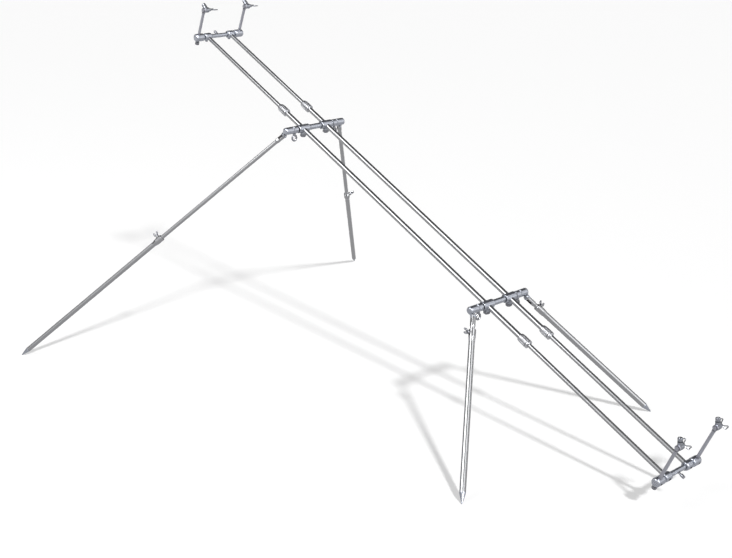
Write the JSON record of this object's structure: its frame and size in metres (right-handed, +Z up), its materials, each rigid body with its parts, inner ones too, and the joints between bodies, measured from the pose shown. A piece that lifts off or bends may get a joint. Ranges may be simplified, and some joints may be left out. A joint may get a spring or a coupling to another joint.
{
  "type": "rod pod",
  "caption": "High-front fishing rod pod: telescopic twin rails on splayed spiked legs, with end bars whose leaning arms carry swivel heads for bite alarms or rod rests.",
  "frame": {"origin": "on the ground, under the middle of the part's bounding box", "axes": "+X to the right when standing behind the pod, +Y forward to the high end, +Z up"},
  "size_m": [1.5314, 2.1536, 1.1396],
  "materials": {
    "polished_steel": "polished stainless tube",
    "satin_steel": "turned and satin-polished stainless",
    "arm_steel": "satin grey stainless rod",
    "screw_steel": "satin stainless screws",
    "turned_steel": "turned stainless, fine tool marks"
  },
  "bodies": {
    "rails": {"main_rails": "polished_steel", "collar_collets": "turned_steel"},
    "front_slide": {"front_extensions": "polished_steel", "front_end_bar": "satin_steel", "front_bar_screws": "turned_steel"},
    "front_leg_bar": {"front_leg_bar": "satin_steel"},
    "front_collar_left": {"front_collar_left": "satin_steel"},
    "front_rail_screw_left": {"front_rail_screw_left": "screw_steel"},
    "front_knuckle_screw_left": {"front_knuckle_screw_left": "screw_steel"},
    "front_upper_leg_left": {"front_upper_leg_left": "polished_steel"},
    "front_leg_screw_left": {"front_leg_screw_left": "screw_steel"},
    "front_arm_left": {"front_arm_left": "arm_steel"},
    "front_head_left": {"front_head_left": "satin_steel"},
    "front_head_screw_left": {"front_head_screw_left": "screw_steel"},
    "front_knuckle_left": {"front_knuckle_left": "satin_steel", "front_hinge_pin_left": "turned_steel"},
    "front_lower_leg_left": {"front_lower_leg_left": "polished_steel", "front_spike_left": "turned_steel"},
    "front_collar_right": {"front_collar_right": "satin_steel"},
    "front_rail_screw_right": {"front_rail_screw_right": "screw_steel"},
    "front_knuckle_screw_right": {"front_knuckle_screw_right": "screw_steel"},
    "front_upper_leg_right": {"front_upper_leg_right": "polished_steel"},
    "front_leg_screw_right": {"front_leg_screw_right": "screw_steel"},
    "front_arm_right": {"front_arm_right": "arm_steel"},
    "front_head_right": {"front_head_right": "satin_steel"},
    "front_head_screw_right": {"front_head_screw_right": "screw_steel"},
    "front_knuckle_right": {"front_knuckle_right": "satin_steel", "front_hinge_pin_right": "turned_steel"},
    "front_lower_leg_right": {"front_lower_leg_right": "polished_steel", "front_spike_right": "turned_steel"},
    "front_arm_knob": {"front_arm_knob": "turned_steel"},
    "rear_slide": {"rear_extensions": "polished_steel", "rear_end_bar": "satin_steel", "rear_bar_screws": "turned_steel"},
    "rear_leg_bar": {"rear_leg_bar": "satin_steel"},
    "rear_collar_left": {"rear_collar_left": "satin_steel"},
    "rear_rail_screw_left": {"rear_rail_screw_left": "screw_steel"},
    "rear_knuckle_screw_left": {"rear_knuckle_screw_left": "screw_steel"},
    "rear_upper_leg_left": {"rear_upper_leg_left": "polished_steel"},
    "rear_leg_screw_left": {"rear_leg_screw_left": "screw_steel"},
    "rear_arm_left": {"rear_arm_left": "arm_steel"},
    "rear_head_left": {"rear_head_left": "satin_steel"},
    "rear_head_screw_left": {"rear_head_screw_left": "screw_steel"},
    "rear_knuckle_left": {"rear_knuckle_left": "satin_steel", "rear_hinge_pin_left": "turned_steel"},
    "rear_lower_leg_left": {"rear_lower_leg_left": "polished_steel", "rear_spike_left": "turned_steel"},
    "rear_collar_right": {"rear_collar_right": "satin_steel"},
    "rear_rail_screw_right": {"rear_rail_screw_right": "screw_steel"},
    "rear_knuckle_screw_right": {"rear_knuckle_screw_right": "screw_steel"},
    "rear_upper_leg_right": {"rear_upper_leg_right": "polished_steel"},
    "rear_leg_screw_right": {"rear_leg_screw_right": "screw_steel"},
    "rear_arm_right": {"rear_arm_right": "arm_steel"},
    "rear_head_right": {"rear_head_right": "satin_steel"},
    "rear_head_screw_right": {"rear_head_screw_right": "screw_steel"},
    "rear_knuckle_right": {"rear_knuckle_right": "satin_steel", "rear_hinge_pin_right": "turned_steel"},
    "rear_lower_leg_right": {"rear_lower_leg_right": "polished_steel", "rear_spike_right": "turned_steel"},
    "rear_arm_knob": {"rear_arm_knob": "turned_steel"}
  },
  "joints": [
    {"name": "front_extension", "type": "slide", "parent": "rails", "child": "front_slide", "axis": [0, 0.9011, 0.4337], "range_m": [-0.37, 0.08]},
    {"name": "front_bar_slide", "type": "slide", "parent": "rails", "child": "front_leg_bar", "axis": [0, 0.9011, 0.4337], "range_m": [-0.35, 0.05]},
    {"name": "front_collar_left_turn", "type": "hinge", "parent": "rails", "child": "front_collar_left", "pos_m": [-0.048, 0.50221, 0.81842], "axis": [0, 0.9011, 0.4337], "range_deg": [0, 270]},
    {"name": "front_rail_screw_left_turn", "type": "hinge", "parent": "front_leg_bar", "child": "front_rail_screw_left", "pos_m": [-0.048, 0.42382, 0.75569], "axis": [0, 0, 1], "range_deg": [0, 270]},
    {"name": "front_knuckle_left_rake", "type": "hinge", "parent": "front_leg_bar", "child": "front_knuckle_left", "pos_m": [-0.117, 0.42382, 0.78069], "axis": [1, 0, 0], "range_deg": [-40, 75]},
    {"name": "front_knuckle_screw_left_turn", "type": "hinge", "parent": "front_leg_bar", "child": "front_knuckle_screw_left", "pos_m": [-0.0847, 0.42382, 0.76069], "axis": [0, 0, 1], "range_deg": [0, 270]},
    {"name": "front_leg_left_splay", "type": "hinge", "parent": "front_knuckle_left", "child": "front_upper_leg_left", "pos_m": [-0.117, 0.43601, 0.76611], "axis": [0, -0.7672, -0.6414], "range_deg": [0, 33]},
    {"name": "front_leg_left_telescope", "type": "slide", "parent": "front_upper_leg_left", "child": "front_lower_leg_left", "axis": [-0.5446, 0.538, -0.6434], "range_m": [-0.45, 0.03]},
    {"name": "front_leg_screw_left_turn", "type": "hinge", "parent": "front_lower_leg_left", "child": "front_leg_screw_left", "pos_m": [-0.41405, 0.72941, 0.4152], "axis": [-0.0731, 0.7338, 0.6754], "range_deg": [0, 270]},
    {"name": "front_arm_left_lean", "type": "hinge", "parent": "front_slide", "child": "front_arm_left", "pos_m": [-0.086, 0.92572, 1.02224], "axis": [1, 0, 0], "range_deg": [-60, 60]},
    {"name": "front_head_left_tilt", "type": "hinge", "parent": "front_arm_left", "child": "front_head_left", "pos_m": [-0.086, 0.88597, 1.11726], "axis": [1, 0, 0], "range_deg": [-13, 147]},
    {"name": "front_head_screw_left_turn", "type": "hinge", "parent": "front_head_left", "child": "front_head_screw_left", "pos_m": [-0.086, 0.88597, 1.11726], "axis": [1, 0, 0], "range_deg": [0, 270]},
    {"name": "front_collar_right_turn", "type": "hinge", "parent": "rails", "child": "front_collar_right", "pos_m": [0.048, 0.50221, 0.81842], "axis": [0, 0.9011, 0.4337], "range_deg": [0, 270]},
    {"name": "front_rail_screw_right_turn", "type": "hinge", "parent": "front_leg_bar", "child": "front_rail_screw_right", "pos_m": [0.048, 0.42382, 0.75569], "axis": [0, 0, 1], "range_deg": [0, 270]},
    {"name": "front_knuckle_right_rake", "type": "hinge", "parent": "front_leg_bar", "child": "front_knuckle_right", "pos_m": [0.117, 0.42382, 0.78069], "axis": [1, 0, 0], "range_deg": [-40, 75]},
    {"name": "front_knuckle_screw_right_turn", "type": "hinge", "parent": "front_leg_bar", "child": "front_knuckle_screw_right", "pos_m": [0.0847, 0.42382, 0.76069], "axis": [0, 0, 1], "range_deg": [0, 270]},
    {"name": "front_leg_right_splay", "type": "hinge", "parent": "front_knuckle_right", "child": "front_upper_leg_right", "pos_m": [0.117, 0.43601, 0.76611], "axis": [0, 0.7672, 0.6414], "range_deg": [0, 33]},
    {"name": "front_leg_right_telescope", "type": "slide", "parent": "front_upper_leg_right", "child": "front_lower_leg_right", "axis": [0.5446, 0.538, -0.6434], "range_m": [-0.45, 0.03]},
    {"name": "front_leg_screw_right_turn", "type": "hinge", "parent": "front_lower_leg_right", "child": "front_leg_screw_right", "pos_m": [0.41405, 0.72941, 0.4152], "axis": [0.8387, -0.3494, 0.4178], "range_deg": [0, 270]},
    {"name": "front_arm_right_lean", "type": "hinge", "parent": "front_slide", "child": "front_arm_right", "pos_m": [0.086, 0.92572, 1.02224], "axis": [1, 0, 0], "range_deg": [-60, 60]},
    {"name": "front_head_right_tilt", "type": "hinge", "parent": "front_arm_right", "child": "front_head_right", "pos_m": [0.086, 0.88597, 1.11726], "axis": [1, 0, 0], "range_deg": [-13, 147]},
    {"name": "front_head_screw_right_turn", "type": "hinge", "parent": "front_head_right", "child": "front_head_screw_right", "pos_m": [0.086, 0.88597, 1.11726], "axis": [1, 0, 0], "range_deg": [0, 270]},
    {"name": "front_arm_knob_turn", "type": "hinge", "parent": "front_arm_left", "child": "front_arm_knob", "pos_m": [-0.086, 0.92572, 1.02224], "axis": [0, -0.3859, 0.9225], "range_deg": [0, 270]},
    {"name": "rear_extension", "type": "slide", "parent": "rails", "child": "rear_slide", "axis": [0, -0.9011, -0.4337], "range_m": [-0.47, 0.08]},
    {"name": "rear_bar_slide", "type": "slide", "parent": "rails", "child": "rear_leg_bar", "axis": [0, 0.9011, 0.4337], "range_m": [-0.09, 0.35]},
    {"name": "rear_collar_left_turn", "type": "hinge", "parent": "rails", "child": "rear_collar_left", "pos_m": [-0.048, -0.54123, 0.31624], "axis": [0, 0.9011, 0.4337], "range_deg": [0, 270]},
    {"name": "rear_rail_screw_left_turn", "type": "hinge", "parent": "rear_leg_bar", "child": "rear_rail_screw_left", "pos_m": [-0.048, -0.38174, 0.368], "axis": [0, 0, 1], "range_deg": [0, 270]},
    {"name": "rear_knuckle_left_rake", "type": "hinge", "parent": "rear_leg_bar", "child": "rear_knuckle_left", "pos_m": [-0.117, -0.38174, 0.393], "axis": [1, 0, 0], "range_deg": [-30, 33]},
    {"name": "rear_knuckle_screw_left_turn", "type": "hinge", "parent": "rear_leg_bar", "child": "rear_knuckle_screw_left", "pos_m": [-0.0847, -0.38174, 0.373], "axis": [0, 0, 1], "range_deg": [0, 270]},
    {"name": "rear_leg_left_splay", "type": "hinge", "parent": "rear_knuckle_left", "child": "rear_upper_leg_left", "pos_m": [-0.117, -0.39234, 0.37723], "axis": [0, -0.83, 0.5577], "range_deg": [0, 33]},
    {"name": "rear_leg_left_telescope", "type": "slide", "parent": "rear_upper_leg_left", "child": "rear_lower_leg_left", "axis": [-0.5577, -0.4629, -0.6889], "range_m": [0, 0.3]},
    {"name": "rear_leg_screw_left_turn", "type": "hinge", "parent": "rear_lower_leg_left", "child": "rear_leg_screw_left", "pos_m": [-0.14622, -0.41659, 0.34114], "axis": [-0.83, 0.3111, 0.4629], "range_deg": [0, 270]},
    {"name": "rear_arm_left_lean", "type": "hinge", "parent": "rear_slide", "child": "rear_arm_left", "pos_m": [-0.086, -1.0134, 0.08901], "axis": [1, 0, 0], "range_deg": [-60, 60]},
    {"name": "rear_head_left_tilt", "type": "hinge", "parent": "rear_arm_left", "child": "rear_head_left", "pos_m": [-0.086, -1.06284, 0.20163], "axis": [1, 0, 0], "range_deg": [-51, 109]},
    {"name": "rear_head_screw_left_turn", "type": "hinge", "parent": "rear_head_left", "child": "rear_head_screw_left", "pos_m": [-0.086, -1.06284, 0.20163], "axis": [1, 0, 0], "range_deg": [0, 270]},
    {"name": "rear_collar_right_turn", "type": "hinge", "parent": "rails", "child": "rear_collar_right", "pos_m": [0.048, -0.54123, 0.31624], "axis": [0, 0.9011, 0.4337], "range_deg": [0, 270]},
    {"name": "rear_rail_screw_right_turn", "type": "hinge", "parent": "rear_leg_bar", "child": "rear_rail_screw_right", "pos_m": [0.048, -0.38174, 0.368], "axis": [0, 0, 1], "range_deg": [0, 270]},
    {"name": "rear_knuckle_right_rake", "type": "hinge", "parent": "rear_leg_bar", "child": "rear_knuckle_right", "pos_m": [0.117, -0.38174, 0.393], "axis": [1, 0, 0], "range_deg": [-30, 33]},
    {"name": "rear_knuckle_screw_right_turn", "type": "hinge", "parent": "rear_leg_bar", "child": "rear_knuckle_screw_right", "pos_m": [0.0847, -0.38174, 0.373], "axis": [0, 0, 1], "range_deg": [0, 270]},
    {"name": "rear_leg_right_splay", "type": "hinge", "parent": "rear_knuckle_right", "child": "rear_upper_leg_right", "pos_m": [0.117, -0.39234, 0.37723], "axis": [0, 0.83, -0.5577], "range_deg": [0, 33]},
    {"name": "rear_leg_right_telescope", "type": "slide", "parent": "rear_upper_leg_right", "child": "rear_lower_leg_right", "axis": [0.5577, -0.4629, -0.6889], "range_m": [0, 0.3]},
    {"name": "rear_leg_screw_right_turn", "type": "hinge", "parent": "rear_lower_leg_right", "child": "rear_leg_screw_right", "pos_m": [0.14622, -0.41659, 0.34114], "axis": [0.83, 0.3111, 0.4629], "range_deg": [0, 270]},
    {"name": "rear_arm_right_lean", "type": "hinge", "parent": "rear_slide", "child": "rear_arm_right", "pos_m": [0.086, -1.0134, 0.08901], "axis": [1, 0, 0], "range_deg": [-60, 60]},
    {"name": "rear_head_right_tilt", "type": "hinge", "parent": "rear_arm_right", "child": "rear_head_right", "pos_m": [0.086, -1.06284, 0.20163], "axis": [1, 0, 0], "range_deg": [-51, 109]},
    {"name": "rear_head_screw_right_turn", "type": "hinge", "parent": "rear_head_right", "child": "rear_head_screw_right", "pos_m": [0.086, -1.06284, 0.20163], "axis": [1, 0, 0], "range_deg": [0, 270]},
    {"name": "rear_arm_knob_turn", "type": "hinge", "parent": "rear_arm_left", "child": "rear_arm_knob", "pos_m": [-0.086, -1.0134, 0.08901], "axis": [0, -0.4019, 0.9157], "range_deg": [0, 270]}
  ]
}
